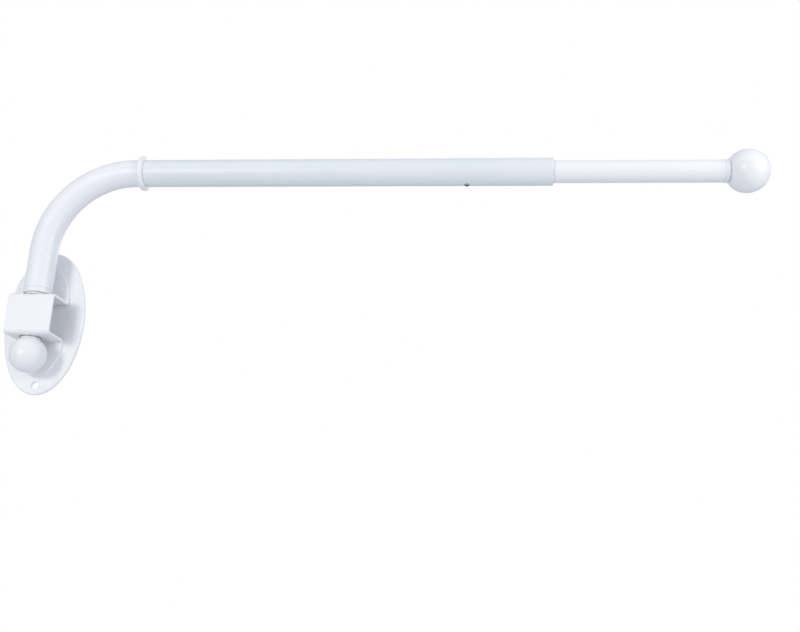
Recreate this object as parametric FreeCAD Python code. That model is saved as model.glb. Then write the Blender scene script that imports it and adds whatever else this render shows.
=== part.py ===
import FreeCAD, Part
import math
import os

# Swing-arm curtain rod: one wall bracket, one elbow arm that swings on it, and a telescoping rod.
# Frame, in millimetres: the origin is the centre of the wall plate's back face, on the wall.
# +X runs along the rod at rest, +Y goes into the wall, +Z is up, along the hinge axis.

V = FreeCAD.Vector
ALONG = V(1, 0, 0)
INTO_WALL = V(0, 1, 0)
UP = V(0, 0, 1)

# Wall plate: an oval stamping with a screw hole near each end.
PLATE_WIDTH = 48.0
PLATE_HEIGHT = 87.0
PLATE_THICKNESS = 2.0
PLATE_EDGE_ROUND = 0.8
SCREW_HOLE_RADIUS = 2.25
SCREW_HOLE_SPACING = 76.0

# Stirrup: a strip bent to a hat shape, with rounded tongues that lie on the plate.
STRIP_THICKNESS = 1.6
STRIP_WIDTH = 27.0
STIRRUP_HEIGHT = 24.0
STIRRUP_DEPTH = 20.0
TONGUE_LENGTH = 21.0
BEND_INSIDE_RADIUS = 0.8
STRIP_EDGE_ROUND = 0.3

# Hinge: a shoulder pin that hangs from the arm, turns in two bushes and is held by a ball nut.
HINGE_FROM_PLATE = 13.0
PIN_RADIUS = 4.0
PIN_THREAD_RADIUS = 3.0
PIN_THREAD_LENGTH = 11.9
PIN_CHAMFER = 0.8
RUNNING_GAP = 0.05
END_PLAY = 0.1
BUSH_SPIGOT_RADIUS = 4.6
UPPER_FLANGE_RADIUS = 6.4
UPPER_FLANGE_HEIGHT = 1.0
COLLAR_RADIUS = 7.9
COLLAR_HEIGHT = 3.0
COLLAR_EDGE_ROUND = 0.3
LOWER_FLANGE_RADIUS = 6.5
LOWER_FLANGE_HEIGHT = 0.6
WASHER_RADIUS = 6.0
WASHER_THICKNESS = 0.5
HINGE_BALL_RADIUS = 10.3
HINGE_BALL_NECK_RADIUS = 5.5
HINGE_BALL_DROP = 9.8
THREAD_RUNOUT = 0.6

# Rod: tube sizes, the elbow, the joint ring and the lengths along +X.
ROD_HEIGHT = 90.0
OUTER_TUBE_RADIUS = 8.0
OUTER_TUBE_WALL = 1.0
INNER_TUBE_RADIUS = 6.5
INNER_TUBE_WALL = 1.0
ELBOW_RADIUS = 50.0
ELBOW_STRAIGHT_END = 3.2
SPIGOT_LENGTH = 26.0
SPIGOT_WALL = 1.0
RING_WIDTH = 3.4
RING_RADIUS = 10.25
RING_SHOULDER_RADIUS = 8.3
OUTER_TUBE_END_X = 298.0
INNER_TUBE_START_X = 194.0
TUBE_EDGE_ROUND = 0.25

# Rod end: a ball held by a stud. The insert in the tube has a collar, and a thinner neck that
# stands in the ball's recess and leaves a narrow groove between the collar and the ball.
FINIAL_RADIUS = 12.5
FINIAL_CENTRE_X = 406.5
FINIAL_FACE_OFFSET = 10.0
FINIAL_RECESS_RADIUS = 6.2
FINIAL_RECESS_DEPTH = 1.0
FINIAL_COLLAR_RADIUS = 6.7
FINIAL_COLLAR_WIDTH = 2.6
FINIAL_NECK_RADIUS = 6.0
FINIAL_GROOVE_WIDTH = 0.6
STUD_RADIUS = 2.5
STUD_LENGTH = 19.0
INSERT_LENGTH = 12.0
STUD_INSET = 1.0

# Hidden guide plug at the inner tube's far end.
GUIDE_HEAD_LENGTH = 8.0
GUIDE_SPIGOT_LENGTH = 10.0
GUIDE_BORE_RADIUS = 3.5

# Set screw in the underside of the outer tube.
SET_SCREW_RADIUS = 1.5
SET_SCREW_LENGTH = 2.0
SET_SCREW_FROM_END = 49.5
HEX_ACROSS_FLATS = 1.5
HEX_DEPTH = 1.0

# Places worked out from the sizes above.
PLATE_FRONT_Y = -PLATE_THICKNESS
HINGE_Y = PLATE_FRONT_Y - HINGE_FROM_PLATE
FLANGE_Z = STIRRUP_HEIGHT / 2
COLLAR_BOTTOM_Z = FLANGE_Z + UPPER_FLANGE_HEIGHT + END_PLAY
LEG_BOTTOM_Z = COLLAR_BOTTOM_Z + COLLAR_HEIGHT
LEG_TOP_Z = ROD_HEIGHT - ELBOW_RADIUS
PIN_SHOULDER_Z = -FLANGE_Z - LOWER_FLANGE_HEIGHT - END_PLAY
BALL_TOP_Z = PIN_SHOULDER_Z - WASHER_THICKNESS
OUTER_TUBE_BORE = OUTER_TUBE_RADIUS - OUTER_TUBE_WALL
INNER_TUBE_BORE = INNER_TUBE_RADIUS - INNER_TUBE_WALL
RING_START_X = ELBOW_RADIUS + ELBOW_STRAIGHT_END
OUTER_TUBE_START_X = RING_START_X + RING_WIDTH
FINIAL_FACE_X = FINIAL_CENTRE_X - FINIAL_FACE_OFFSET
INSERT_SEAT_X = FINIAL_FACE_X + FINIAL_RECESS_DEPTH
COLLAR_END_X = FINIAL_FACE_X - FINIAL_GROOVE_WIDTH
INNER_TUBE_END_X = COLLAR_END_X - FINIAL_COLLAR_WIDTH
STUD_START_X = INNER_TUBE_END_X - INSERT_LENGTH + STUD_INSET
STUD_END_X = STUD_START_X + STUD_LENGTH
SET_SCREW_X = OUTER_TUBE_END_X - SET_SCREW_FROM_END
SET_SCREW_TIP_Z = ROD_HEIGHT - INNER_TUBE_RADIUS - RUNNING_GAP


def upright_cylinder(radius, low_z, high_z):
    """A round bar on the hinge axis."""
    return Part.makeCylinder(radius, high_z - low_z, V(0, HINGE_Y, low_z), UP)


def rod_cylinder(radius, start_x, end_x):
    """A round bar on the rod's axis."""
    return Part.makeCylinder(radius, end_x - start_x, V(start_x, HINGE_Y, ROD_HEIGHT), ALONG)


def oval_slab(half_width, half_height, centre_z, back_y, thickness):
    """An upright oval slab whose back is at back_y and which comes out from the wall."""
    centre = V(0, back_y, centre_z)
    edge = Part.Ellipse(centre + UP * half_height, centre + ALONG * half_width, centre).toShape()
    return Part.Face(Part.Wire([edge])).extrude(INTO_WALL * -thickness)


def round_rims(solid, radius, axis):
    """Round both end rims of a round bar that runs along axis."""
    rims = [edge for edge in solid.Edges if isinstance(edge.Curve, Part.Circle)]
    return solid.makeFillet(radius, [edge for edge in rims if abs(edge.Curve.Axis.dot(axis)) > 0.999])


def round_edges(solid, radius, chosen):
    """Round every edge for which chosen(edge) is true."""
    return solid.makeFillet(radius, [edge for edge in solid.Edges if chosen(edge)])


def is_circle_at_x(edge, radius, x):
    """True for a full circle of this radius about the rod's axis at x."""
    if not isinstance(edge.Curve, Part.Circle):
        return False
    return abs(edge.Curve.Radius - radius) < 0.01 and abs(edge.Curve.Center.x - x) < 0.01


def is_circle_at_z(edge, radius, z):
    """True for a full circle of this radius about the hinge axis at z."""
    if not isinstance(edge.Curve, Part.Circle):
        return False
    return abs(edge.Curve.Radius - radius) < 0.01 and abs(edge.Curve.Center.z - z) < 0.01


def make_wall_plate():
    """The oval plate, with a rounded front edge and its two screw holes."""
    plate = oval_slab(PLATE_WIDTH / 2, PLATE_HEIGHT / 2, 0, 0, PLATE_THICKNESS)
    front_edges = [edge for edge in plate.Edges if abs(edge.BoundBox.YMax - PLATE_FRONT_Y) < 0.01]
    plate = plate.makeFillet(PLATE_EDGE_ROUND, front_edges)
    for side in (1, -1):
        start = V(0, -PLATE_THICKNESS - 1, side * SCREW_HOLE_SPACING / 2)
        plate = plate.cut(Part.makeCylinder(SCREW_HOLE_RADIUS, PLATE_THICKNESS + 2, start, INTO_WALL))
    return plate


def make_stirrup():
    """The hat-shaped strap: a front face, two flanges with bush holes, and two tongues."""
    front_y = PLATE_FRONT_Y - STIRRUP_DEPTH
    inside_y = front_y + STRIP_THICKNESS
    tongue_y = PLATE_FRONT_Y - STRIP_THICKNESS
    inside_z = FLANGE_Z - STRIP_THICKNESS
    tip_z = FLANGE_Z + TONGUE_LENGTH
    half_width = STRIP_WIDTH / 2
    upper_half = [
        (tongue_y, tip_z),
        (PLATE_FRONT_Y, tip_z),
        (PLATE_FRONT_Y, inside_z),
        (inside_y, inside_z),
    ]
    lower_half = [(y, -z) for y, z in reversed(upper_half)]
    front = [(tongue_y, -FLANGE_Z), (front_y, -FLANGE_Z), (front_y, FLANGE_Z), (tongue_y, FLANGE_Z)]
    corners = [V(-half_width, y, z) for y, z in upper_half + lower_half + front]
    strap = Part.Face(Part.makePolygon(corners + corners[:1])).extrude(ALONG * STRIP_WIDTH)

    outside_radius = BEND_INSIDE_RADIUS + STRIP_THICKNESS
    inside_bends = [(inside_y, inside_z), (tongue_y, FLANGE_Z)]
    outside_bends = [(front_y, FLANGE_Z), (PLATE_FRONT_Y, inside_z)]
    for radius, bends in ((BEND_INSIDE_RADIUS, inside_bends), (outside_radius, outside_bends)):
        def on_bend(edge):
            box = edge.BoundBox
            if box.XLength < STRIP_WIDTH - 0.01:
                return False
            return any(abs(box.YMin - y) < 0.01 and abs(abs(box.ZMin) - z) < 0.01 for y, z in bends)
        strap = round_edges(strap, radius, on_bend)

    outline = Part.makeBox(STRIP_WIDTH, STIRRUP_DEPTH, STIRRUP_HEIGHT, V(-half_width, front_y, -FLANGE_Z))
    for side in (1, -1):
        tongue = oval_slab(half_width, TONGUE_LENGTH, side * FLANGE_Z, PLATE_FRONT_Y, STIRRUP_DEPTH)
        outline = outline.fuse(tongue)
    strap = strap.common(outline)
    strap = strap.cut(upright_cylinder(BUSH_SPIGOT_RADIUS, -FLANGE_Z - 1, FLANGE_Z + 1)).removeSplitter()

    def on_rim(edge):
        box = edge.BoundBox
        runs_across = box.ZLength < 0.01 and box.XLength > 0.01
        at_tongue_tip = box.XLength < 0.02 and abs(box.Center.x) < 0.02
        return not runs_across and not at_tongue_tip
    return round_edges(strap, STRIP_EDGE_ROUND, on_rim)


def make_upper_bush():
    """Nylon bush in the upper flange; its own flange carries the arm."""
    flange = upright_cylinder(UPPER_FLANGE_RADIUS, FLANGE_Z, FLANGE_Z + UPPER_FLANGE_HEIGHT)
    flange = round_rims(flange, COLLAR_EDGE_ROUND, UP)
    bush = flange.fuse(upright_cylinder(BUSH_SPIGOT_RADIUS, FLANGE_Z - STRIP_THICKNESS, FLANGE_Z))
    return bush.cut(upright_cylinder(PIN_RADIUS + RUNNING_GAP, FLANGE_Z - 5, FLANGE_Z + 5))


def make_lower_bush():
    """Nylon bush in the lower flange, with its thin flange underneath, against the washer."""
    bush = upright_cylinder(BUSH_SPIGOT_RADIUS, -FLANGE_Z, -FLANGE_Z + STRIP_THICKNESS)
    bush = bush.fuse(upright_cylinder(LOWER_FLANGE_RADIUS, -FLANGE_Z - LOWER_FLANGE_HEIGHT, -FLANGE_Z))
    return bush.cut(upright_cylinder(PIN_RADIUS + RUNNING_GAP, -FLANGE_Z - 5, -FLANGE_Z + 5))


def make_hinge_pin():
    """Shoulder pin: plain shank from the arm's leg to the lower flange, then a thread for the ball."""
    shank = upright_cylinder(PIN_RADIUS, PIN_SHOULDER_Z, LEG_TOP_Z)
    shank = shank.makeChamfer(PIN_CHAMFER, [e for e in shank.Edges if is_circle_at_z(e, PIN_RADIUS, LEG_TOP_Z)])
    thread_end_z = PIN_SHOULDER_Z - PIN_THREAD_LENGTH
    thread = upright_cylinder(PIN_THREAD_RADIUS, thread_end_z, PIN_SHOULDER_Z)
    thread = thread.makeChamfer(
        PIN_CHAMFER, [e for e in thread.Edges if is_circle_at_z(e, PIN_THREAD_RADIUS, thread_end_z)])
    return shank.fuse(thread)


def make_pin_insert():
    """Plug pressed into the leg of the elbow, bored for the pin; its collar closes the tube's end."""
    collar = round_rims(upright_cylinder(COLLAR_RADIUS, COLLAR_BOTTOM_Z, LEG_BOTTOM_Z), COLLAR_EDGE_ROUND, UP)
    plug = collar.fuse(upright_cylinder(OUTER_TUBE_BORE, LEG_BOTTOM_Z, LEG_TOP_Z))
    return plug.cut(upright_cylinder(PIN_RADIUS, COLLAR_BOTTOM_Z - 1, LEG_TOP_Z + 1))


def make_friction_washer():
    """Washer clamped between the pin's shoulder and the ball."""
    washer = upright_cylinder(WASHER_RADIUS, BALL_TOP_Z, PIN_SHOULDER_Z)
    return washer.cut(upright_cylinder(PIN_THREAD_RADIUS, BALL_TOP_Z - 1, PIN_SHOULDER_Z + 1))


def make_hinge_ball():
    """Ball nut under the lower flange, with a short neck and a blind threaded hole."""
    centre_z = BALL_TOP_Z - HINGE_BALL_DROP
    ball = Part.makeSphere(HINGE_BALL_RADIUS, V(0, HINGE_Y, centre_z))
    ball = ball.fuse(upright_cylinder(HINGE_BALL_NECK_RADIUS, centre_z, BALL_TOP_Z))
    ball = ball.cut(upright_cylinder(HINGE_BALL_RADIUS, BALL_TOP_Z, BALL_TOP_Z + HINGE_BALL_RADIUS))
    hole_bottom_z = PIN_SHOULDER_Z - PIN_THREAD_LENGTH - THREAD_RUNOUT
    return ball.cut(upright_cylinder(PIN_THREAD_RADIUS, hole_bottom_z, BALL_TOP_Z + 1))


def bent_bar(radius, leg_bottom_z, end_x):
    """A solid bar up the leg, round the quarter bend and along to end_x."""
    leg = upright_cylinder(radius, leg_bottom_z, LEG_TOP_Z)
    disc = Part.Face(Part.Wire([Part.makeCircle(radius, V(0, HINGE_Y, LEG_TOP_Z), UP)]))
    bend = disc.revolve(V(ELBOW_RADIUS, HINGE_Y, LEG_TOP_Z), INTO_WALL, 90)
    return leg.fuse(bend).fuse(rod_cylinder(radius, ELBOW_RADIUS, end_x))


def make_elbow_tube():
    """Bent tube: leg, quarter bend, a short straight, and a necked-down spigot for the outer tube."""
    spigot_end_x = RING_START_X + SPIGOT_LENGTH
    neck_x = RING_START_X - SPIGOT_WALL
    tube = bent_bar(OUTER_TUBE_RADIUS, LEG_BOTTOM_Z, RING_START_X)
    tube = round_edges(tube, TUBE_EDGE_ROUND, lambda e: is_circle_at_z(e, OUTER_TUBE_RADIUS, LEG_BOTTOM_Z))
    tube = tube.fuse(rod_cylinder(OUTER_TUBE_BORE, RING_START_X, spigot_end_x))
    tube = tube.cut(bent_bar(OUTER_TUBE_BORE, LEG_BOTTOM_Z, neck_x))
    tube = tube.cut(rod_cylinder(OUTER_TUBE_BORE - SPIGOT_WALL, neck_x - 1, spigot_end_x + 1))
    return tube.removeSplitter()


def make_joint_ring():
    """Rounded bead ring on the spigot, between the elbow and the outer tube."""
    def at(x, radius):
        return V(x, HINGE_Y, ROD_HEIGHT + radius)
    end_x = RING_START_X + RING_WIDTH
    left_foot = at(RING_START_X, OUTER_TUBE_BORE)
    left_top = at(RING_START_X, RING_SHOULDER_RADIUS)
    crown = at(RING_START_X + RING_WIDTH / 2, RING_RADIUS)
    right_top = at(end_x, RING_SHOULDER_RADIUS)
    right_foot = at(end_x, OUTER_TUBE_BORE)
    profile = Part.Wire([
        Part.makeLine(left_foot, left_top),
        Part.Arc(left_top, crown, right_top).toShape(),
        Part.makeLine(right_top, right_foot),
        Part.makeLine(right_foot, left_foot),
    ])
    return Part.Face(profile).revolve(V(0, HINGE_Y, ROD_HEIGHT), ALONG, 360)


def make_outer_tube():
    """Straight tube over the spigot, open at its far end, with the set screw's hole underneath."""
    tube = rod_cylinder(OUTER_TUBE_RADIUS, OUTER_TUBE_START_X, OUTER_TUBE_END_X)
    tube = round_edges(tube, TUBE_EDGE_ROUND, lambda e: is_circle_at_x(e, OUTER_TUBE_RADIUS, OUTER_TUBE_END_X))
    tube = tube.cut(rod_cylinder(OUTER_TUBE_BORE, OUTER_TUBE_START_X - 1, OUTER_TUBE_END_X + 1))
    hole_start = V(SET_SCREW_X, HINGE_Y, ROD_HEIGHT - OUTER_TUBE_RADIUS - 1)
    hole = Part.makeCylinder(SET_SCREW_RADIUS + RUNNING_GAP, OUTER_TUBE_WALL + 2, hole_start, UP)
    return tube.cut(hole)


def make_set_screw():
    """Headless screw with a hexagon socket; its tip stops just short of the inner tube."""
    socket_end_z = SET_SCREW_TIP_Z - SET_SCREW_LENGTH
    screw = Part.makeCylinder(SET_SCREW_RADIUS, SET_SCREW_LENGTH, V(SET_SCREW_X, HINGE_Y, socket_end_z), UP)
    corner_radius = HEX_ACROSS_FLATS / math.sqrt(3)
    corners = []
    for step in range(7):
        angle = math.radians(60 * step)
        corner = V(corner_radius * math.cos(angle), corner_radius * math.sin(angle), 0)
        corners.append(V(SET_SCREW_X, HINGE_Y, socket_end_z) + corner)
    socket = Part.Face(Part.makePolygon(corners)).extrude(UP * HEX_DEPTH)
    return screw.cut(socket)


def make_inner_tube():
    """Thinner tube that slides in the outer tube and ends at the insert's collar."""
    tube = rod_cylinder(INNER_TUBE_RADIUS, INNER_TUBE_START_X, INNER_TUBE_END_X)
    return tube.cut(rod_cylinder(INNER_TUBE_BORE, INNER_TUBE_START_X - 1, INNER_TUBE_END_X + 1))


def make_guide_plug():
    """Nylon plug in the hidden end of the inner tube; its head runs in the outer tube."""
    head_start_x = INNER_TUBE_START_X - GUIDE_HEAD_LENGTH
    spigot_end_x = INNER_TUBE_START_X + GUIDE_SPIGOT_LENGTH
    plug = rod_cylinder(OUTER_TUBE_BORE - RUNNING_GAP, head_start_x, INNER_TUBE_START_X)
    plug = plug.fuse(rod_cylinder(INNER_TUBE_BORE, INNER_TUBE_START_X, spigot_end_x))
    return plug.cut(rod_cylinder(GUIDE_BORE_RADIUS, head_start_x - 1, spigot_end_x + 1))


def make_finial_insert():
    """Plug in the outer end of the inner tube, with a collar and a neck, bored for the stud."""
    collar = rod_cylinder(FINIAL_COLLAR_RADIUS, INNER_TUBE_END_X, COLLAR_END_X)
    collar = round_rims(collar, COLLAR_EDGE_ROUND, ALONG)
    plug_start_x = INNER_TUBE_END_X - INSERT_LENGTH
    insert = collar.fuse(rod_cylinder(INNER_TUBE_BORE, plug_start_x, INNER_TUBE_END_X))
    insert = insert.fuse(rod_cylinder(FINIAL_NECK_RADIUS, COLLAR_END_X, INSERT_SEAT_X))
    return insert.cut(rod_cylinder(STUD_RADIUS, plug_start_x - 1, INSERT_SEAT_X + 1))


def make_finial_stud():
    """Stud that ties the ball to the insert."""
    return rod_cylinder(STUD_RADIUS, STUD_START_X, STUD_END_X)


def make_finial_ball():
    """End ball with a flat face, a shallow recess for the neck and a blind hole for the stud."""
    ball = Part.makeSphere(FINIAL_RADIUS, V(FINIAL_CENTRE_X, HINGE_Y, ROD_HEIGHT))
    size = 4 * FINIAL_RADIUS
    corner = V(FINIAL_FACE_X - size, HINGE_Y - size / 2, ROD_HEIGHT - size / 2)
    ball = ball.cut(Part.makeBox(size, size, size, corner))
    ball = ball.cut(rod_cylinder(FINIAL_RECESS_RADIUS, FINIAL_FACE_X - 1, INSERT_SEAT_X))
    return ball.cut(rod_cylinder(STUD_RADIUS, FINIAL_FACE_X - 1, STUD_END_X + THREAD_RUNOUT))


PARTS = {
    "wall_plate": make_wall_plate,
    "stirrup": make_stirrup,
    "upper_bush": make_upper_bush,
    "lower_bush": make_lower_bush,
    "hinge_pin": make_hinge_pin,
    "pin_insert": make_pin_insert,
    "friction_washer": make_friction_washer,
    "hinge_ball": make_hinge_ball,
    "elbow_tube": make_elbow_tube,
    "joint_ring": make_joint_ring,
    "outer_tube": make_outer_tube,
    "set_screw": make_set_screw,
    "inner_tube": make_inner_tube,
    "guide_plug": make_guide_plug,
    "finial_insert": make_finial_insert,
    "finial_stud": make_finial_stud,
    "finial_ball": make_finial_ball,
}

os.makedirs("parts", exist_ok=True)
for name, make in PARTS.items():
    shape = make()
    assert shape.isValid() and len(shape.Solids) == 1, name
    shape.Solids[0].exportStep(f"parts/{name}.step")
    print(f"{name}: {shape.Volume:.1f} mm3")
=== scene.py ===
from math import pi, radians, sqrt

import bmesh
import bpy
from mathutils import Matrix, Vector


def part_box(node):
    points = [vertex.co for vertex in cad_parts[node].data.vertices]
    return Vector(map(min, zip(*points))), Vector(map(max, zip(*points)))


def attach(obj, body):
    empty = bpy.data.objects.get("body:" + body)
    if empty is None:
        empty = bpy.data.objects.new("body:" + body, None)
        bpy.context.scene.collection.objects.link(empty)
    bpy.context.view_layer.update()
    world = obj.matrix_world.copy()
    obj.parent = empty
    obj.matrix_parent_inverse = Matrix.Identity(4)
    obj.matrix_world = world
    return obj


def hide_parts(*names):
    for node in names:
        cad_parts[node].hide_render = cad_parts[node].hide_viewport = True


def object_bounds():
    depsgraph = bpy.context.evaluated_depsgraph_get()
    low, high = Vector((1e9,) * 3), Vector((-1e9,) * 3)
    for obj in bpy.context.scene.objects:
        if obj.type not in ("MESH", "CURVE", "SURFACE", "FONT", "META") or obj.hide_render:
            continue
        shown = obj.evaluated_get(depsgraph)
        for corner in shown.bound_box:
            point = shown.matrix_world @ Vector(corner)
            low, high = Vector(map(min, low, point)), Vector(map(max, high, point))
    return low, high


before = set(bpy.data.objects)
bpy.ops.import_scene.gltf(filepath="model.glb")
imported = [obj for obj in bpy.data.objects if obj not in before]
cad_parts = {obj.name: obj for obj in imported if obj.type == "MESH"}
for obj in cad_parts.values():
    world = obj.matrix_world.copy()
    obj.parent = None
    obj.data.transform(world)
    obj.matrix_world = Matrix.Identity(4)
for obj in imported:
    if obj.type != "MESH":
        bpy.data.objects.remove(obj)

cad_low, cad_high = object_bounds()
bpy.ops.object.select_all(action="DESELECT")

# ---------------------------------------------------------------------------------------------
# Wall plate: an oval pressed from 2 mm steel sheet. The die rolls its front rim over, and a punch
# makes a screw hole near each end. It is powder coated white, and two screws hold it to the wall.
# ---------------------------------------------------------------------------------------------
plate_low, plate_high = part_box("wall_plate")
plate_middle = (plate_low + plate_high) / 2
plate_half = (plate_high - plate_low) / 2
plate_sides = 160
plate_rim_round, plate_rim_steps = 0.0009, 5
plate_back_round, plate_back_steps = 0.0002, 2
screw_hole_radius = 0.00225
screw_hole_height = 0.038
screw_hole_sides = 48
screw_hole_lip, screw_hole_lip_steps = 0.0004, 3
punch_length = 0.02

# Places within a hair of each other count as one; corners as near as same_place are merged.
hair, same_place = 0.00002, 0.000001
smooth_angle = radians(35)
corner_cosine = 0.5


def open_piece(name):
    """Name the new primitive, put its place in its mesh and open it for shaping."""
    piece = bpy.context.object
    piece.name = piece.data.name = name
    bpy.ops.object.transform_apply(location=True, rotation=True, scale=True)
    bpy.ops.object.mode_set(mode="EDIT")
    return piece


def pick(kind, chosen):
    """Select the faces or the edges of the open piece that pass a test, and nothing else."""
    bpy.ops.mesh.select_mode(type=kind)
    bpy.ops.mesh.select_all(action="DESELECT")
    shape = bmesh.from_edit_mesh(bpy.context.object.data)
    for part in shape.faces if kind == "FACE" else shape.edges:
        part.select_set(bool(chosen(part)))
    bmesh.update_edit_mesh(bpy.context.object.data)


def face_out():
    """Merge doubled corners of the open piece and turn every face outwards."""
    bpy.ops.mesh.select_all(action="SELECT")
    bpy.ops.mesh.remove_doubles(threshold=same_place)
    bpy.ops.mesh.normals_make_consistent(inside=False)


def close_piece(piece):
    """Leave edit mode, smooth all but the sharp corners, and keep the flats flat."""
    face_out()
    bpy.ops.object.mode_set(mode="OBJECT")
    bpy.ops.object.shade_smooth_by_angle(angle=smooth_angle)
    piece.modifiers.new("flats", "WEIGHTED_NORMAL").keep_sharp = True
    bpy.ops.object.modifier_apply(modifier="flats")
    bpy.ops.object.select_all(action="DESELECT")


def cut_out(piece, cutter):
    """Cut the cutter's shape out of a piece, throw the cutter away and open the piece again."""
    hole = piece.modifiers.new("hole", "BOOLEAN")
    hole.operation = "DIFFERENCE"
    hole.solver = "EXACT"
    hole.object = cutter
    bpy.ops.object.select_all(action="DESELECT")
    bpy.context.view_layer.objects.active = piece
    piece.select_set(True)
    bpy.ops.object.modifier_apply(modifier="hole")
    bpy.data.objects.remove(cutter)
    bpy.ops.object.mode_set(mode="EDIT")


def on_corner(edge):
    """True where two faces meet at a sharp corner."""
    faces = edge.link_faces
    return len(faces) == 2 and faces[0].normal.dot(faces[1].normal) < corner_cosine


def by_screw_hole(edge):
    """True near one of the two screw holes."""
    middle = (edge.verts[0].co + edge.verts[1].co) / 2
    return Vector((middle.x, abs(middle.z) - screw_hole_height)).length < 2 * screw_hole_radius


def at_depth(edge, depth):
    """True where an edge lies flat at one depth in front of the wall."""
    return all(abs(v.co.y - depth) < hair for v in edge.verts)


bpy.ops.mesh.primitive_cylinder_add(
    vertices=plate_sides, radius=1, depth=2 * plate_half.y, location=plate_middle,
    rotation=(pi / 2, 0, 0), scale=(plate_half.x, plate_half.z, 1))
wall_plate = open_piece("oval_wall_plate")
for rim_y, rim_round, rim_steps in (
    (plate_low.y, plate_rim_round, plate_rim_steps),
    (plate_high.y, plate_back_round, plate_back_steps),
):
    pick("EDGE", lambda edge: on_corner(edge) and at_depth(edge, rim_y))
    bpy.ops.mesh.bevel(offset=rim_round, segments=rim_steps, affect="EDGES")
for side in (1, -1):
    bpy.ops.object.mode_set(mode="OBJECT")
    bpy.ops.mesh.primitive_cylinder_add(
        vertices=screw_hole_sides, radius=screw_hole_radius, depth=punch_length,
        location=(0, plate_middle.y, side * screw_hole_height), rotation=(pi / 2, 0, 0))
    cut_out(wall_plate, bpy.context.object)
pick("EDGE", lambda edge: on_corner(edge) and by_screw_hole(edge) and at_depth(edge, plate_low.y))
bpy.ops.mesh.bevel(offset=screw_hole_lip, segments=screw_hole_lip_steps, affect="EDGES")
close_piece(wall_plate)


def add_node(tree, kind, sockets=None, **settings):
    """Add a shader node, with its settings and the values of its sockets."""
    node = tree.nodes.new(kind)
    for name, value in settings.items():
        setattr(node, name, value)
    for name, value in (sockets or {}).items():
        node.inputs[name].default_value = value
    return node


def new_effect(name, inputs, outputs):
    """Start a node group; each input is a name with its value, and each output a name."""
    tree = bpy.data.node_groups.new(name, "ShaderNodeTree")
    for label, value in inputs.items():
        kind = "NodeSocketFloat" if isinstance(value, float) else "NodeSocketVector"
        socket = tree.interface.new_socket(name=label, in_out="INPUT", socket_type=kind)
        socket.default_value = value
    for label in outputs:
        tree.interface.new_socket(name=label, in_out="OUTPUT", socket_type="NodeSocketFloat")
    group_in, group_out = tree.nodes.new("NodeGroupInput"), tree.nodes.new("NodeGroupOutput")
    return tree, group_in.outputs, group_out.inputs


def join(tree, *pairs):
    """Link pairs of an output socket and an input socket."""
    for source, target in pairs:
        tree.links.new(source, target)


# Sprayed paint: fine pebbling, a slow drift of tone, and patches that shine a little more.
sprayed, sprayed_in, sprayed_out = new_effect(
    "sprayed_paint", {"Pebble Size": 0.001, "Gloss Loss": 0.4, "Drift": 0.06},
    ("Tone", "Roughness", "Height"))
spot = add_node(sprayed, "ShaderNodeTexCoord")
fineness = add_node(sprayed, "ShaderNodeMath", {0: 1.0}, operation="DIVIDE")
pebbles = add_node(sprayed, "ShaderNodeTexNoise", {"Detail": 2.0, "Roughness": 0.45})
tones = add_node(sprayed, "ShaderNodeTexNoise", {"Scale": 30.0, "Detail": 3.0})
tone_range = add_node(sprayed, "ShaderNodeMapRange", {"From Min": 0.35, "From Max": 0.65})
patches = add_node(sprayed, "ShaderNodeTexNoise", {"Scale": 120.0, "Detail": 4.0})
patch_middle = add_node(sprayed, "ShaderNodeMath", {1: 0.5}, operation="SUBTRACT")
patch_drift = add_node(sprayed, "ShaderNodeMath", operation="MULTIPLY_ADD")
join(
    sprayed,
    (spot.outputs["Object"], pebbles.inputs["Vector"]),
    (spot.outputs["Object"], tones.inputs["Vector"]),
    (spot.outputs["Object"], patches.inputs["Vector"]),
    (sprayed_in["Pebble Size"], fineness.inputs[1]),
    (fineness.outputs[0], pebbles.inputs["Scale"]),
    (tones.outputs["Fac"], tone_range.inputs["Value"]),
    (patches.outputs["Fac"], patch_middle.inputs[0]),
    (patch_middle.outputs[0], patch_drift.inputs[0]),
    (sprayed_in["Drift"], patch_drift.inputs[1]),
    (sprayed_in["Gloss Loss"], patch_drift.inputs[2]),
    (tone_range.outputs["Result"], sprayed_out["Tone"]),
    (patch_drift.outputs[0], sprayed_out["Roughness"]),
    (pebbles.outputs["Fac"], sprayed_out["Height"]),
)

# Edges: a painted highlight along an outside corner, and painted shade in an inside one.
# Pointiness is 0.5 on a flat, more on an outside corner and less in a crease.
corner_start, crease_start = 0.515, 0.485
edges, edges_in, edges_out = new_effect("edge_highlight_and_crease_shade", {"Spread": 0.06}, ("Corner", "Crease"))
surface = add_node(edges, "ShaderNodeNewGeometry")
corner_end = add_node(edges, "ShaderNodeMath", {0: corner_start}, operation="ADD")
crease_end = add_node(edges, "ShaderNodeMath", {0: crease_start}, operation="SUBTRACT")
corner_range = add_node(edges, "ShaderNodeMapRange", {"From Min": corner_start})
crease_range = add_node(edges, "ShaderNodeMapRange", {"From Min": crease_start})
for edge_end, edge_range in ((corner_end, corner_range), (crease_end, crease_range)):
    join(
        edges,
        (edges_in["Spread"], edge_end.inputs[1]),
        (edge_end.outputs[0], edge_range.inputs["From Max"]),
        (surface.outputs["Pointiness"], edge_range.inputs["Value"]),
    )
join(
    edges,
    (corner_range.outputs[0], edges_out["Corner"]),
    (crease_range.outputs[0], edges_out["Crease"]),
)
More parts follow.
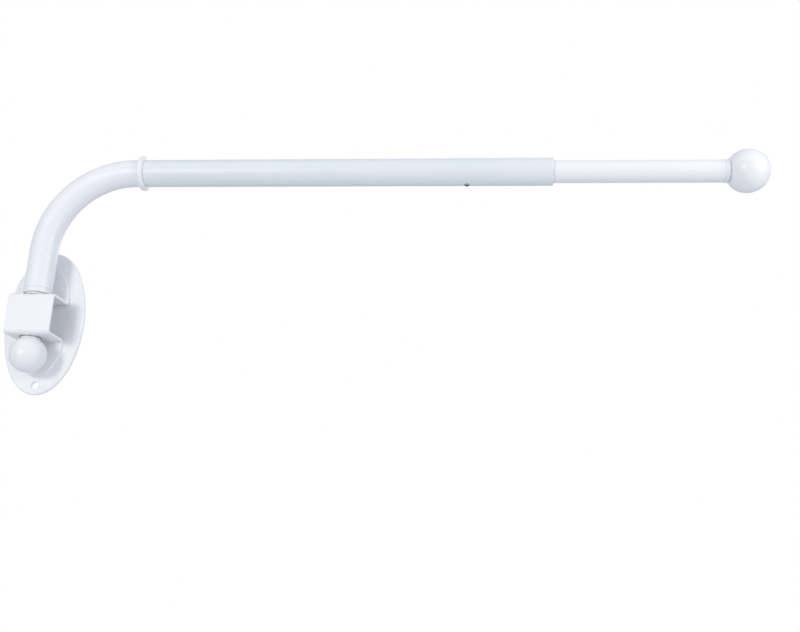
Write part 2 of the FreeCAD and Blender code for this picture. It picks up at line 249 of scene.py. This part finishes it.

# Dust and painted shade: a thin tint on what faces up, broken into patches. It stands for a little
# dust, and for painted shade that darkens the tops.
top_dust_and_shade, top_in, top_out = new_effect("dust_and_painted_top_shade", {"Patch Scale": 55.0}, ("Dust And Top Shade",))
top_surface = add_node(top_dust_and_shade, "ShaderNodeNewGeometry")
top_spot = add_node(top_dust_and_shade, "ShaderNodeTexCoord")
top_normal_parts = add_node(top_dust_and_shade, "ShaderNodeSeparateXYZ")
top_slope = add_node(top_dust_and_shade, "ShaderNodeMapRange", {"From Min": 0.35, "From Max": 1.0})
top_noise = add_node(top_dust_and_shade, "ShaderNodeTexNoise", {"Detail": 5.0})
top_patches = add_node(top_dust_and_shade, "ShaderNodeMapRange", {"From Min": 0.4, "From Max": 0.7})
top_mask = add_node(top_dust_and_shade, "ShaderNodeMath", operation="MULTIPLY")
join(
    top_dust_and_shade,
    (top_surface.outputs["Normal"], top_normal_parts.inputs[0]),
    (top_normal_parts.outputs["Z"], top_slope.inputs["Value"]),
    (top_spot.outputs["Object"], top_noise.inputs["Vector"]),
    (top_in["Patch Scale"], top_noise.inputs["Scale"]),
    (top_noise.outputs["Fac"], top_patches.inputs["Value"]),
    (top_slope.outputs["Result"], top_mask.inputs[0]),
    (top_patches.outputs["Result"], top_mask.inputs[1]),
    (top_mask.outputs[0], top_out["Dust And Top Shade"]),
)


def effect(tree, group, **values):
    """Place a node group in a material, with its own values."""
    node = add_node(tree, "ShaderNodeGroup", node_tree=group)
    for name, value in values.items():
        node.inputs[name.replace("_", " ")].default_value = value
    return node.outputs


# The sockets of a Mix node that mixes colours, by their place: the node has others of each name.
mask_in, first_in, second_in, colour_out = 0, 6, 7, 2


def mixed(tree, mask, first, second):
    """A mix of two colours by a mask; the first is a colour or another node's output."""
    mix = add_node(tree, "ShaderNodeMix", {second_in: (*second, 1)}, data_type="RGBA")
    if isinstance(first, tuple):
        mix.inputs[first_in].default_value = (*first, 1)
    else:
        tree.links.new(first, mix.inputs[first_in])
    tree.links.new(mask, mix.inputs[mask_in])
    return mix.outputs[colour_out]


def tinted(tree, colour, mask, tint, share):
    """A colour drawn towards a tint, by a share of a mask."""
    gain = add_node(tree, "ShaderNodeMath", {1: share}, operation="MULTIPLY")
    tree.links.new(mask, gain.inputs[0])
    return mixed(tree, gain.outputs[0], colour, tint)


coat_roughness = 0.2


def new_finish(name, ior=1.5, coat=0.0):
    """Start a material; the shader stays in the material itself."""
    finish = bpy.data.materials.new(name)
    finish.use_nodes = True
    shader = finish.node_tree.nodes["Principled BSDF"].inputs
    shader["IOR"].default_value = ior
    shader["Coat Weight"].default_value = coat
    shader["Coat Roughness"].default_value = coat_roughness
    return finish, finish.node_tree, shader


def bumped(tree, shader, height, distance, under=None):
    """Raise the surface by a height pattern, on top of another one if there is one."""
    bump = add_node(tree, "ShaderNodeBump", {"Strength": 1.0, "Distance": distance})
    tree.links.new(height, bump.inputs["Height"])
    if under:
        tree.links.new(under, bump.inputs["Normal"])
    tree.links.new(bump.outputs["Normal"], shader["Normal"])


# Painted light on white paint: the paler corner tint is a painted highlight, the blue-grey crease
# tint is painted shade, and the grey top tint is a little dust with painted shade.
painted_edge_highlight, painted_edge_highlight_share = (0.93, 0.94, 0.95), 0.5
painted_crease_shade, painted_crease_shade_share = (0.42, 0.45, 0.52), 0.45
paint_top_dust_and_shade, paint_top_dust_and_shade_share = (0.66, 0.66, 0.65), 0.12


def white_paint(name, light, dark, gloss_loss, drift, pebble_size, pebble_height, coat=0.0):
    """White sprayed paint, with a painted highlight on corners, painted shade in creases, and a
    little dust with painted shade on top.
    """
    finish, tree, shader = new_finish(name, coat=coat)
    paint = effect(tree, sprayed, Pebble_Size=pebble_size, Gloss_Loss=gloss_loss, Drift=drift)
    rims = effect(tree, edges)
    top_tint = effect(tree, top_dust_and_shade)
    colour = mixed(tree, paint["Tone"], dark, light)
    colour = tinted(tree, colour, rims["Corner"], painted_edge_highlight, painted_edge_highlight_share)
    colour = tinted(tree, colour, rims["Crease"], painted_crease_shade, painted_crease_shade_share)
    colour = tinted(tree, colour, top_tint["Dust And Top Shade"], paint_top_dust_and_shade, paint_top_dust_and_shade_share)
    join(tree, (colour, shader["Base Color"]), (paint["Roughness"], shader["Roughness"]))
    bumped(tree, shader, paint["Height"], pebble_height)
    return finish


powder_coat = white_paint(
    "powder_coat_white", light=(0.86, 0.865, 0.88), dark=(0.84, 0.848, 0.866),
    gloss_loss=0.4, drift=0.08, pebble_size=0.0011, pebble_height=0.00003)
wall_plate.data.materials.append(powder_coat)
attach(wall_plate, "wall_bracket")
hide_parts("wall_plate")

# ---------------------------------------------------------------------------------------------
# Stirrup: a 27 mm steel strap bent in a press to a hat shape, with a bush hole in each flange.
# Its two rounded tongues are spot-welded to the wall plate, and both are powder coated together.
# ---------------------------------------------------------------------------------------------
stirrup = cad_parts["stirrup"]
stirrup.data.materials.clear()
stirrup.data.materials.append(powder_coat)

# ---------------------------------------------------------------------------------------------
# Bushes: two nylon bushes, moulded and pushed into the flange holes from outside. The upper
# one's flange carries the arm; the lower one's thin flange rubs on the washer.
# ---------------------------------------------------------------------------------------------
# On the nylon, the blue-grey crease tint is painted shade, and the grey tint on what faces up is a
# little dust with painted shade.
nylon_dark, nylon_light = (0.81, 0.818, 0.83), (0.855, 0.862, 0.872)
nylon_painted_crease_shade, nylon_painted_crease_shade_share = (0.4, 0.43, 0.5), 0.5
nylon_top_dust_and_shade, nylon_top_dust_and_shade_share = (0.6, 0.6, 0.58), 0.15
nylon_grain_height = 0.00001
nylon, nylon_tree, nylon_shader = new_finish("moulded_nylon", ior=1.53)
nylon_skin = effect(nylon_tree, sprayed, Pebble_Size=0.0005, Gloss_Loss=0.4, Drift=0.1)
nylon_rims = effect(nylon_tree, edges)
nylon_top_tint = effect(nylon_tree, top_dust_and_shade, Patch_Scale=90.0)
nylon_colour = mixed(nylon_tree, nylon_skin["Tone"], nylon_dark, nylon_light)
nylon_colour = tinted(
    nylon_tree, nylon_colour, nylon_rims["Crease"], nylon_painted_crease_shade, nylon_painted_crease_shade_share)
nylon_colour = tinted(
    nylon_tree, nylon_colour, nylon_top_tint["Dust And Top Shade"], nylon_top_dust_and_shade, nylon_top_dust_and_shade_share)
join(
    nylon_tree,
    (nylon_colour, nylon_shader["Base Color"]),
    (nylon_skin["Roughness"], nylon_shader["Roughness"]),
)
bumped(nylon_tree, nylon_shader, nylon_skin["Height"], nylon_grain_height)
for bush_name in ("upper_bush", "lower_bush"):
    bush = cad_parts[bush_name]
    bush.data.materials.clear()
    bush.data.materials.append(nylon)

# ---------------------------------------------------------------------------------------------
# Hinge pin and washer: a shoulder pin turned from 8 mm bright bar and a punched washer, both
# zinc plated. The pin hangs from the arm, and its thread takes the ball nut.
# ---------------------------------------------------------------------------------------------
pin_low, pin_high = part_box("hinge_pin")
hinge_y = (pin_low.y + pin_high.y) / 2
turning_pitch, turning_depth = 0.0003, 0.000004
plating_cloud_share = 0.25
# The near-black tint in the creases of turned steel is painted shade.
steel_painted_crease_shade, steel_painted_crease_shade_share = (0.08, 0.08, 0.09), 0.7

# Turning rings: the fine marks that a lathe tool leaves round a bar and across its faces.
turned, turned_in, turned_out = new_effect(
    "turning_rings", {"Centre": (0.0, 0.0, 0.0), "Pitch": turning_pitch}, ("Height", "Tone"))
turned_spot = add_node(turned, "ShaderNodeTexCoord")
turned_offset = add_node(turned, "ShaderNodeVectorMath", operation="SUBTRACT")
turned_across = add_node(
    turned, "ShaderNodeVectorMath", {1: (1.0, 1.0, 0.0)}, operation="MULTIPLY")
turned_radius = add_node(turned, "ShaderNodeVectorMath", operation="LENGTH")
turned_parts = add_node(turned, "ShaderNodeSeparateXYZ")
turned_path = add_node(turned, "ShaderNodeMath", operation="ADD")
turned_count = add_node(turned, "ShaderNodeMath", operation="DIVIDE")
turned_groove = add_node(turned, "ShaderNodeMath", {1: 1.0}, operation="PINGPONG")
turned_tone = add_node(
    turned, "ShaderNodeTexNoise", {"Scale": 1.7, "Detail": 2.0}, noise_dimensions="1D")
join(
    turned,
    (turned_spot.outputs["Object"], turned_offset.inputs[0]),
    (turned_in["Centre"], turned_offset.inputs[1]),
    (turned_offset.outputs[0], turned_across.inputs[0]),
    (turned_across.outputs[0], turned_radius.inputs[0]),
    (turned_offset.outputs[0], turned_parts.inputs[0]),
    (turned_radius.outputs["Value"], turned_path.inputs[0]),
    (turned_parts.outputs["Z"], turned_path.inputs[1]),
    (turned_path.outputs[0], turned_count.inputs[0]),
    (turned_in["Pitch"], turned_count.inputs[1]),
    (turned_count.outputs[0], turned_groove.inputs[0]),
    (turned_count.outputs[0], turned_tone.inputs["W"]),
    (turned_groove.outputs[0], turned_out["Height"]),
    (turned_tone.outputs["Fac"], turned_out["Tone"]),
)


def turned_steel(name, light, dark, gloss_loss, centre):
    """Turned and plated steel, with fine rings, cloudy plating and painted shade in creases."""
    finish, tree, shader = new_finish(name)
    shader["Metallic"].default_value = 1.0
    marks = effect(tree, turned, Centre=centre)
    plating = effect(tree, sprayed, Pebble_Size=0.002, Gloss_Loss=gloss_loss, Drift=0.16)
    rims = effect(tree, edges)
    colour = mixed(tree, marks["Tone"], dark, light)
    colour = tinted(tree, colour, plating["Tone"], dark, plating_cloud_share)
    colour = tinted(tree, colour, rims["Crease"], steel_painted_crease_shade, steel_painted_crease_shade_share)
    join(tree, (colour, shader["Base Color"]), (plating["Roughness"], shader["Roughness"]))
    bumped(tree, shader, marks["Height"], turning_depth)
    return finish


zinc = turned_steel(
    "zinc_plated_steel", light=(0.5, 0.51, 0.54), dark=(0.36, 0.37, 0.4),
    gloss_loss=0.45, centre=(0, hinge_y, 0))
for steel_name in ("hinge_pin", "friction_washer", "finial_stud"):
    steel_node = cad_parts[steel_name]
    steel_node.data.materials.clear()
    steel_node.data.materials.append(zinc)

# ---------------------------------------------------------------------------------------------
# Leg collar: the moulded nylon plug in the foot of the elbow. It grips the hinge pin, and its
# collar closes the tube and rests on the upper bush.
# ---------------------------------------------------------------------------------------------
leg_plug_low, leg_plug_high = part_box("pin_insert")
elbow_low, elbow_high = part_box("elbow_tube")
collar_radius = leg_plug_high.x
leg_plug_radius = 0.007
pin_radius = pin_high.x
collar_rim_round = 0.00045
collar_seam_round = 0.00025
round_sides = 96
square_on = 0.9

# A line is the number of the axis it follows, a point on it, and the turn that lays a bar along it.
hinge_line = (2, Vector((0, hinge_y, 0)), (0, 0, 0))


def from_line(line, point):
    """How far a point is from an axis."""
    axis, middle = line[:2]
    offset = point - middle
    offset[axis] = 0
    return offset.length


def on_ring(line, place, radius):
    """A test for the edges of one circle round an axis."""
    axis = line[0]
    return lambda edge: all(
        abs(v.co[axis] - place) < hair and abs(from_line(line, v.co) - radius) < hair
        for v in edge.verts)


def step_end(line, place, radius, new_radius, new_place):
    """Draw out the flat end of a bar: first to a new radius, then to a new place."""
    axis, middle = line[:2]
    centre, move, ratio = middle.copy(), Vector(), [new_radius / radius] * 3
    centre[axis], move[axis], ratio[axis] = place, new_place - place, 1
    pick("FACE", lambda face: len(face.verts) > 4 and abs(face.normal[axis]) > square_on
         and abs(face.calc_center_median()[axis] - place) < hair)
    if abs(new_radius - radius) > hair:
        bpy.ops.mesh.extrude_region_move()
        bpy.ops.transform.resize(value=ratio, center_override=centre)
    if abs(new_place - place) > hair:
        bpy.ops.mesh.extrude_region_move(TRANSFORM_OT_translate={"value": move})


def turn_bar(name, line, start, steps, bore=0):
    """Turn a round bar; each step is a radius and where it ends, and a bore goes right through."""
    axis, middle, turn = line
    radius, end = steps[0]
    centre = middle.copy()
    centre[axis] = (start + end) / 2
    bpy.ops.mesh.primitive_cylinder_add(
        vertices=round_sides, radius=radius, depth=end - start, location=centre, rotation=turn)
    piece = open_piece(name)
    last_radius = radius
    for next_radius, next_end in steps[1:]:
        step_end(line, end, last_radius, next_radius, next_end)
        last_radius, end = next_radius, next_end
    if bore:
        step_end(line, start, radius, bore, start)
        step_end(line, end, last_radius, bore, end)
        pick("FACE", lambda face: len(face.verts) > 4)
        bpy.ops.mesh.bridge_edge_loops()
    face_out()
    return piece


def round_rim(line, place, radius, rounding, steps=3):
    """Round one circular corner of the open piece."""
    pick("EDGE", on_ring(line, place, radius))
    bpy.ops.mesh.bevel(offset=rounding, segments=steps, affect="EDGES")


leg_collar = turn_bar(
    "leg_collar", hinge_line, leg_plug_low.z,
    [(collar_radius, elbow_low.z), (leg_plug_radius, leg_plug_high.z)], bore=pin_radius)
round_rim(hinge_line, leg_plug_low.z, collar_radius, collar_rim_round)
round_rim(hinge_line, elbow_low.z, collar_radius, collar_seam_round)
close_piece(leg_collar)
leg_collar.data.materials.append(nylon)
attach(leg_collar, "arm")
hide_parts("pin_insert")

# ---------------------------------------------------------------------------------------------
# Ball nut: a steel ball about 21 mm across with a short neck, drilled and tapped, then sprayed
# with gloss white. It screws onto the pin from below and is tightened by hand.
# ---------------------------------------------------------------------------------------------
nut_low, nut_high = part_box("hinge_ball")
nut_radius = nut_high.x
nut_centre_z = nut_low.z + nut_radius
nut_neck_radius = 0.0055
nut_neck_z = nut_centre_z + sqrt(nut_radius ** 2 - nut_neck_radius ** 2)
nut_thread_radius = 0.003
nut_hole_depth = 0.012
nut_neck_round = 0.0002


def turn_ball(name, line, place, radius, cut_place, kept):
    """Turn a ball and face it off flat; kept is the side of the cut that stays, 1 or -1."""
    axis, middle, turn = line
    centre, across, cut = middle.copy(), Vector(), middle.copy()
    centre[axis], across[axis], cut[axis] = place, kept, cut_place
    bpy.ops.mesh.primitive_uv_sphere_add(
        segments=round_sides, ring_count=round_sides // 2, radius=radius, location=centre,
        rotation=turn)
    piece = open_piece(name)
    bpy.ops.mesh.bisect(plane_co=cut, plane_no=across, use_fill=True, clear_inner=True)
    face_out()
    return piece


ball_nut = turn_ball("ball_nut", hinge_line, nut_centre_z, nut_radius, nut_neck_z, -1)
step_end(hinge_line, nut_neck_z, nut_neck_radius, nut_neck_radius, nut_high.z)
step_end(hinge_line, nut_high.z, nut_neck_radius, nut_thread_radius, nut_high.z)
step_end(hinge_line, nut_high.z, nut_thread_radius, nut_thread_radius, nut_high.z - nut_hole_depth)
round_rim(hinge_line, nut_high.z, nut_neck_radius, nut_neck_round, steps=2)
close_piece(ball_nut)
gloss_enamel = white_paint(
    "gloss_enamel_white", light=(0.87, 0.873, 0.88), dark=(0.85, 0.854, 0.864),
    gloss_loss=0.33, drift=0.08, pebble_size=0.0022, pebble_height=0.000022, coat=0.06)
ball_nut.data.materials.append(gloss_enamel)
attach(ball_nut, "arm")
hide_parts("hinge_ball")

# ---------------------------------------------------------------------------------------------
# Elbow: 16 mm steel tube, drawn round a former through a right angle. Its far end is necked
# down to slip into the main tube. It is sprayed with semi-gloss white.
# ---------------------------------------------------------------------------------------------
ring_low, ring_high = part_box("joint_ring")
main_low, main_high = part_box("outer_tube")
rod_z = (main_low.z + main_high.z) / 2
rod_line = (0, Vector((0, hinge_y, rod_z)), (0, pi / 2, 0))
tube_radius = (main_high.z - main_low.z) / 2
tube_wall = 0.001
bend_radius = 0.05
bend_steps = 48
neck_radius = tube_radius - tube_wall
tube_rim_round = 0.0003
loop_from_rim = 0.0012
leg_top_z = rod_z - bend_radius


def ring_cut(line, place):
    """Run a loop of edges round the open piece at one place."""
    axis, middle = line[:2]
    cut, across = middle.copy(), Vector()
    cut[axis], across[axis] = place, 1
    bpy.ops.mesh.select_all(action="SELECT")
    bpy.ops.mesh.bisect(plane_co=cut, plane_no=across)


bpy.ops.mesh.primitive_circle_add(
    vertices=round_sides, radius=tube_radius, location=(0, hinge_y, elbow_low.z),
    fill_type="NOTHING")
elbow = open_piece("elbow_arm")
bpy.ops.mesh.select_mode(type="EDGE")
bpy.ops.mesh.select_all(action="SELECT")
for leg_move in (loop_from_rim, leg_top_z - elbow_low.z - loop_from_rim):
    bpy.ops.mesh.extrude_edges_move(TRANSFORM_OT_translate={"value": (0, 0, leg_move)})
bpy.ops.mesh.spin(
    steps=bend_steps, angle=-pi / 2, center=(bend_radius, hinge_y, leg_top_z), axis=(0, 1, 0))
for rod_move in (ring_low.x - bend_radius - loop_from_rim, loop_from_rim):
    bpy.ops.mesh.extrude_edges_move(TRANSFORM_OT_translate={"value": (rod_move, 0, 0)})
bpy.ops.mesh.extrude_edges_move()
bpy.ops.transform.resize(
    value=(1, neck_radius / tube_radius, neck_radius / tube_radius),
    center_override=(ring_low.x, hinge_y, rod_z))
bpy.ops.mesh.extrude_edges_move(
    TRANSFORM_OT_translate={"value": (elbow_high.x - ring_low.x, 0, 0)})
face_out()
bpy.ops.object.mode_set(mode="OBJECT")
elbow_wall = elbow.modifiers.new("wall", "SOLIDIFY")
elbow_wall.thickness = tube_wall
elbow_wall.offset = -1
bpy.ops.object.modifier_apply(modifier="wall")
bpy.ops.object.mode_set(mode="EDIT")
round_rim(hinge_line, elbow_low.z, tube_radius, tube_rim_round)
round_rim(rod_line, ring_low.x, tube_radius, tube_rim_round)
close_piece(elbow)
elbow.data.materials.append(white_paint(
    "elbow_enamel_white", light=(0.86, 0.868, 0.885), dark=(0.838, 0.848, 0.87),
    gloss_loss=0.38, drift=0.1, pebble_size=0.0016, pebble_height=0.000022))
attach(elbow, "arm")
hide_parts("elbow_tube")

# ---------------------------------------------------------------------------------------------
# Joint ring: a bead turned from steel and sprayed gloss white. It slides over the elbow's neck
# and hides the joint with the main tube.
# ---------------------------------------------------------------------------------------------
ring_radius = (ring_high.z - ring_low.z) / 2
ring_bead_round, ring_bead_steps = 0.00162, 8
joint_ring = turn_bar(
    "joint_bead_ring", rod_line, ring_low.x, [(ring_radius, ring_high.x)], bore=neck_radius)
pick("EDGE", lambda edge: on_ring(rod_line, ring_low.x, ring_radius)(edge)
     or on_ring(rod_line, ring_high.x, ring_radius)(edge))
bpy.ops.mesh.bevel(offset=ring_bead_round, segments=ring_bead_steps, affect="EDGES")
close_piece(joint_ring)
joint_ring.data.materials.append(gloss_enamel)
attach(joint_ring, "arm")
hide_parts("joint_ring")

# ---------------------------------------------------------------------------------------------
# Main tube: 16 mm steel tube with a 1 mm wall, its mouth rolled smooth, drilled underneath for a
# screw. Its white is set darker and bluer than the sliding tube's, over the fine lengthwise lines
# that drawing leaves.
# ---------------------------------------------------------------------------------------------
screw_low, screw_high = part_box("set_screw")
screw_x = (screw_low.x + screw_high.x) / 2
screw_radius = (screw_high.x - screw_low.x) / 2
screw_hole_gap = 0.00005
loop_from_screw = 3 * screw_radius
mouth_round, mouth_steps = 0.0004, 4
mouth_inside_round, mouth_inside_steps = 0.0002, 2
drawn_line_height = 0.000006

drawn, drawn_in, drawn_out = new_effect("drawn_lines", {"Fineness": 900.0}, ("Height",))
drawn_spot = add_node(drawn, "ShaderNodeTexCoord")
drawn_stretch = add_node(drawn, "ShaderNodeMapping", {"Scale": (0.012, 1.0, 1.0)})
drawn_noise = add_node(drawn, "ShaderNodeTexNoise", {"Detail": 3.0, "Roughness": 0.6})
join(
    drawn,
    (drawn_spot.outputs["Object"], drawn_stretch.inputs["Vector"]),
    (drawn_stretch.outputs["Vector"], drawn_noise.inputs["Vector"]),
    (drawn_in["Fineness"], drawn_noise.inputs["Scale"]),
    (drawn_noise.outputs["Fac"], drawn_out["Height"]),
)

main_tube = turn_bar(
    "main_tube", rod_line, main_low.x, [(tube_radius, main_high.x)], bore=neck_radius)
for loop_x in (
    main_low.x + loop_from_rim, screw_x - loop_from_screw,
    screw_x + loop_from_screw, main_high.x - loop_from_rim,
):
    ring_cut(rod_line, loop_x)
round_rim(rod_line, main_low.x, tube_radius, tube_rim_round)
round_rim(rod_line, main_high.x, tube_radius, mouth_round, steps=mouth_steps)
round_rim(rod_line, main_high.x, neck_radius, mouth_inside_round, steps=mouth_inside_steps)
bpy.ops.object.mode_set(mode="OBJECT")
bpy.ops.mesh.primitive_cylinder_add(
    vertices=screw_hole_sides, radius=screw_radius + screw_hole_gap, depth=2 * tube_wall,
    location=(screw_x, hinge_y, main_low.z))
cut_out(main_tube, bpy.context.object)
close_piece(main_tube)


def tube_paint(name, light, dark):
    """White paint over drawn steel tube, with the drawing lines just showing through."""
    finish = white_paint(
        name, light, dark, gloss_loss=0.38, drift=0.1, pebble_size=0.0016, pebble_height=0.00002)
    tree = finish.node_tree
    shader = tree.nodes["Principled BSDF"].inputs
    pebbling = shader["Normal"].links[0].from_socket
    bumped(tree, shader, effect(tree, drawn)["Height"], drawn_line_height, under=pebbling)
    return finish


main_tube.data.materials.append(tube_paint(
    "main_tube_cool_white", light=(0.77, 0.805, 0.82), dark=(0.75, 0.788, 0.806)))
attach(main_tube, "arm")
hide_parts("outer_tube")

# ---------------------------------------------------------------------------------------------
# Set screw: a headless 3 mm screw of black steel with a hexagon socket, in the underside of the
# main tube. Its tip bears on the sliding tube and fixes the length.
# ---------------------------------------------------------------------------------------------
screw_line = (2, Vector((screw_x, hinge_y, 0)), (0, 0, 0))
screw_chamfer = 0.0002
hexagon_flats = 0.0015
hexagon_depth = 0.001
set_screw = turn_bar("hex_set_screw", screw_line, screw_low.z, [(screw_radius, screw_high.z)])
round_rim(screw_line, screw_low.z, screw_radius, screw_chamfer, steps=1)
round_rim(screw_line, screw_high.z, screw_radius, 2 * screw_chamfer, steps=1)
bpy.ops.object.mode_set(mode="OBJECT")
bpy.ops.mesh.primitive_cylinder_add(
    vertices=6, radius=hexagon_flats / sqrt(3), depth=2 * hexagon_depth,
    location=(screw_x, hinge_y, screw_low.z))
cut_out(set_screw, bpy.context.object)
close_piece(set_screw)
set_screw.data.materials.append(turned_steel(
    "black_oxide_steel", light=(0.5, 0.5, 0.52), dark=(0.36, 0.36, 0.38),
    gloss_loss=0.5, centre=(screw_x, hinge_y, 0)))
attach(set_screw, "set_screw")
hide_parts("set_screw")

# ---------------------------------------------------------------------------------------------
# Sliding tube and guide plug: a 13 mm steel tube, sprayed like the main tube, that slides in it.
# A nylon plug pressed into its hidden end keeps it centred and stops it at the set screw.
# ---------------------------------------------------------------------------------------------
slide_low, slide_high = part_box("inner_tube")
slide_radius = (slide_high.z - slide_low.z) / 2
slide_rim_round = 0.0002
slide_bore = slide_radius - tube_wall
sliding_tube = turn_bar(
    "sliding_tube", rod_line, slide_low.x, [(slide_radius, slide_high.x)], bore=slide_bore)
for loop_x in (slide_low.x + loop_from_rim, slide_high.x - loop_from_rim):
    ring_cut(rod_line, loop_x)
for rim_x in (slide_low.x, slide_high.x):
    round_rim(rod_line, rim_x, slide_radius, slide_rim_round, steps=2)
close_piece(sliding_tube)
sliding_tube.data.materials.append(tube_paint(
    "sliding_tube_white", light=(0.86, 0.868, 0.88), dark=(0.84, 0.85, 0.866)))
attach(sliding_tube, "inner_rod")
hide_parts("inner_tube")
guide_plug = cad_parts["guide_plug"]
guide_plug.data.materials.clear()
guide_plug.data.materials.append(nylon)

# ---------------------------------------------------------------------------------------------
# Rod end: a 25 mm ball, faced off, recessed and sprayed gloss white. A stud ties it to a moulded
# nylon plug, whose collar closes the sliding tube. The plug's thinner neck stands in the recess
# and leaves a narrow dark groove between the collar and the ball.
# ---------------------------------------------------------------------------------------------
end_plug_low, end_plug_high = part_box("finial_insert")
end_ball_low, end_ball_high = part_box("finial_ball")
stud_low, stud_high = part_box("finial_stud")
end_ball_radius = (end_ball_high.z - end_ball_low.z) / 2
end_ball_x = end_ball_high.x - end_ball_radius
end_face_radius = sqrt(end_ball_radius ** 2 - (end_ball_x - end_ball_low.x) ** 2)
end_recess_radius = 0.0062
end_neck_radius = 0.006
end_groove_width = 0.0006
end_face_round = 0.00015
end_collar_radius = (end_plug_high.z - end_plug_low.z) / 2
stud_radius = (stud_high.z - stud_low.z) / 2
thread_runout = 0.0006
collar_face_x = end_ball_low.x - end_groove_width
tube_end_collar = turn_bar(
    "tube_end_collar", rod_line, end_plug_low.x,
    [(slide_bore, slide_high.x), (end_collar_radius, collar_face_x),
     (end_neck_radius, end_plug_high.x)], bore=stud_radius)
for rim_x in (slide_high.x, collar_face_x):
    round_rim(rod_line, rim_x, end_collar_radius, collar_seam_round)
close_piece(tube_end_collar)
tube_end_collar.data.materials.append(nylon)
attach(tube_end_collar, "inner_rod")
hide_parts("finial_insert")

end_ball = turn_ball("end_ball", rod_line, end_ball_x, end_ball_radius, end_ball_low.x, 1)
step_end(rod_line, end_ball_low.x, end_face_radius, end_recess_radius, end_ball_low.x)
step_end(rod_line, end_ball_low.x, end_recess_radius, end_recess_radius, end_plug_high.x)
step_end(rod_line, end_plug_high.x, end_recess_radius, stud_radius, end_plug_high.x)
step_end(rod_line, end_plug_high.x, stud_radius, stud_radius, stud_high.x + thread_runout)
for rim_radius in (end_face_radius, end_recess_radius):
    round_rim(rod_line, end_ball_low.x, rim_radius, end_face_round, steps=2)
close_piece(end_ball)
end_ball.data.materials.append(gloss_enamel)
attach(end_ball, "inner_rod")
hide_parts("finial_ball")

# ---------------------------------------------------------------------------------------------
# The room: a plain pale floor under the rod, a bright sky, and a camera low in front of it. The
# softbox in front is the main light, with soft ones above, on the right and behind. Nothing here
# is part of the object.
# ---------------------------------------------------------------------------------------------
floor_drop, floor_width, floor_middle_x = 0.32, 3.6, 0.2
floor_dark, floor_light = (0.80, 0.81, 0.82), (0.81, 0.82, 0.83)
bpy.ops.mesh.primitive_plane_add(
    size=floor_width, location=(floor_middle_x, 0, cad_low.z - floor_drop))
floor = open_piece("floor")
bpy.ops.object.mode_set(mode="OBJECT")
floor_finish, floor_tree, floor_shader = new_finish("pale_floor_paint")
floor_skin = effect(floor_tree, sprayed, Pebble_Size=0.004, Gloss_Loss=0.85, Drift=0.1)
floor_colour = mixed(floor_tree, floor_skin["Tone"], floor_dark, floor_light)
join(
    floor_tree,
    (floor_colour, floor_shader["Base Color"]),
    (floor_skin["Roughness"], floor_shader["Roughness"]),
)
floor.data.materials.append(floor_finish)

scene = bpy.context.scene
scene.view_settings.view_transform = "Standard"
sky_below, sky_above, sky_backdrop = (0.28, 0.33, 0.40), (0.52, 0.57, 0.65), (1, 1, 1)
sky = bpy.data.worlds.new("studio_sky")
sky.use_nodes = True
sky_tree = sky.node_tree
sky_light = sky_tree.nodes["Background"]
sky_spot = add_node(sky_tree, "ShaderNodeTexCoord")
sky_parts = add_node(sky_tree, "ShaderNodeSeparateXYZ")
sky_height = add_node(sky_tree, "ShaderNodeMapRange", {"From Min": -0.6, "From Max": 0.9})
sky_path = add_node(sky_tree, "ShaderNodeLightPath")
sky_colour = mixed(sky_tree, sky_height.outputs["Result"], sky_below, sky_above)
sky_seen = mixed(sky_tree, sky_path.outputs["Is Camera Ray"], sky_colour, sky_backdrop)
join(
    sky_tree,
    (sky_spot.outputs["Generated"], sky_parts.inputs[0]),
    (sky_parts.outputs["Z"], sky_height.inputs["Value"]),
    (sky_seen, sky_light.inputs["Color"]),
)
scene.world = sky

camera_data = bpy.data.cameras.new("camera")
camera_data.sensor_width = 36
camera_data.lens = 41.1
camera = bpy.data.objects.new("camera", camera_data)
camera.location = (0.2598, -0.5006, -0.1433)
camera.rotation_euler = (radians(106.63), radians(-2.08), radians(4.94))
scene.collection.objects.link(camera)
scene.camera = camera

# Each lamp's name, place, the point that it faces, width, power and colour.
for lamp_name, lamp_place, lamp_target, lamp_size, lamp_power, lamp_colour in (
    ("front_softbox", (-0.43, -1.33, 0.08), (0.1, 0, 0.04), 0.3, 5.5, (1.0, 0.94, 0.88)),
    ("top_softbox", (-0.35, -0.7, 0.95), (0.1, 0, 0.04), 0.8, 2.4, (1.0, 0.96, 0.92)),
    ("right_softbox", (0.95, -0.42, 0.22), (0.35, 0, 0.07), 0.5, 3.3, (1.0, 0.95, 0.92)),
    ("back_softbox", (0.45, 1.3, 0.75), (0.2, 0, 0.04), 0.9, 4.0, (1.0, 0.97, 0.94)),
):
    lamp_data = bpy.data.lights.new(lamp_name, "AREA")
    lamp_data.size = lamp_size
    lamp_data.energy = lamp_power
    lamp_data.color = lamp_colour
    lamp = bpy.data.objects.new(lamp_name, lamp_data)
    lamp.location = lamp_place
    lamp_direction = Vector(lamp_target) - Vector(lamp_place)
    lamp.rotation_euler = lamp_direction.to_track_quat("-Z", "Y").to_euler()
    scene.collection.objects.link(lamp)
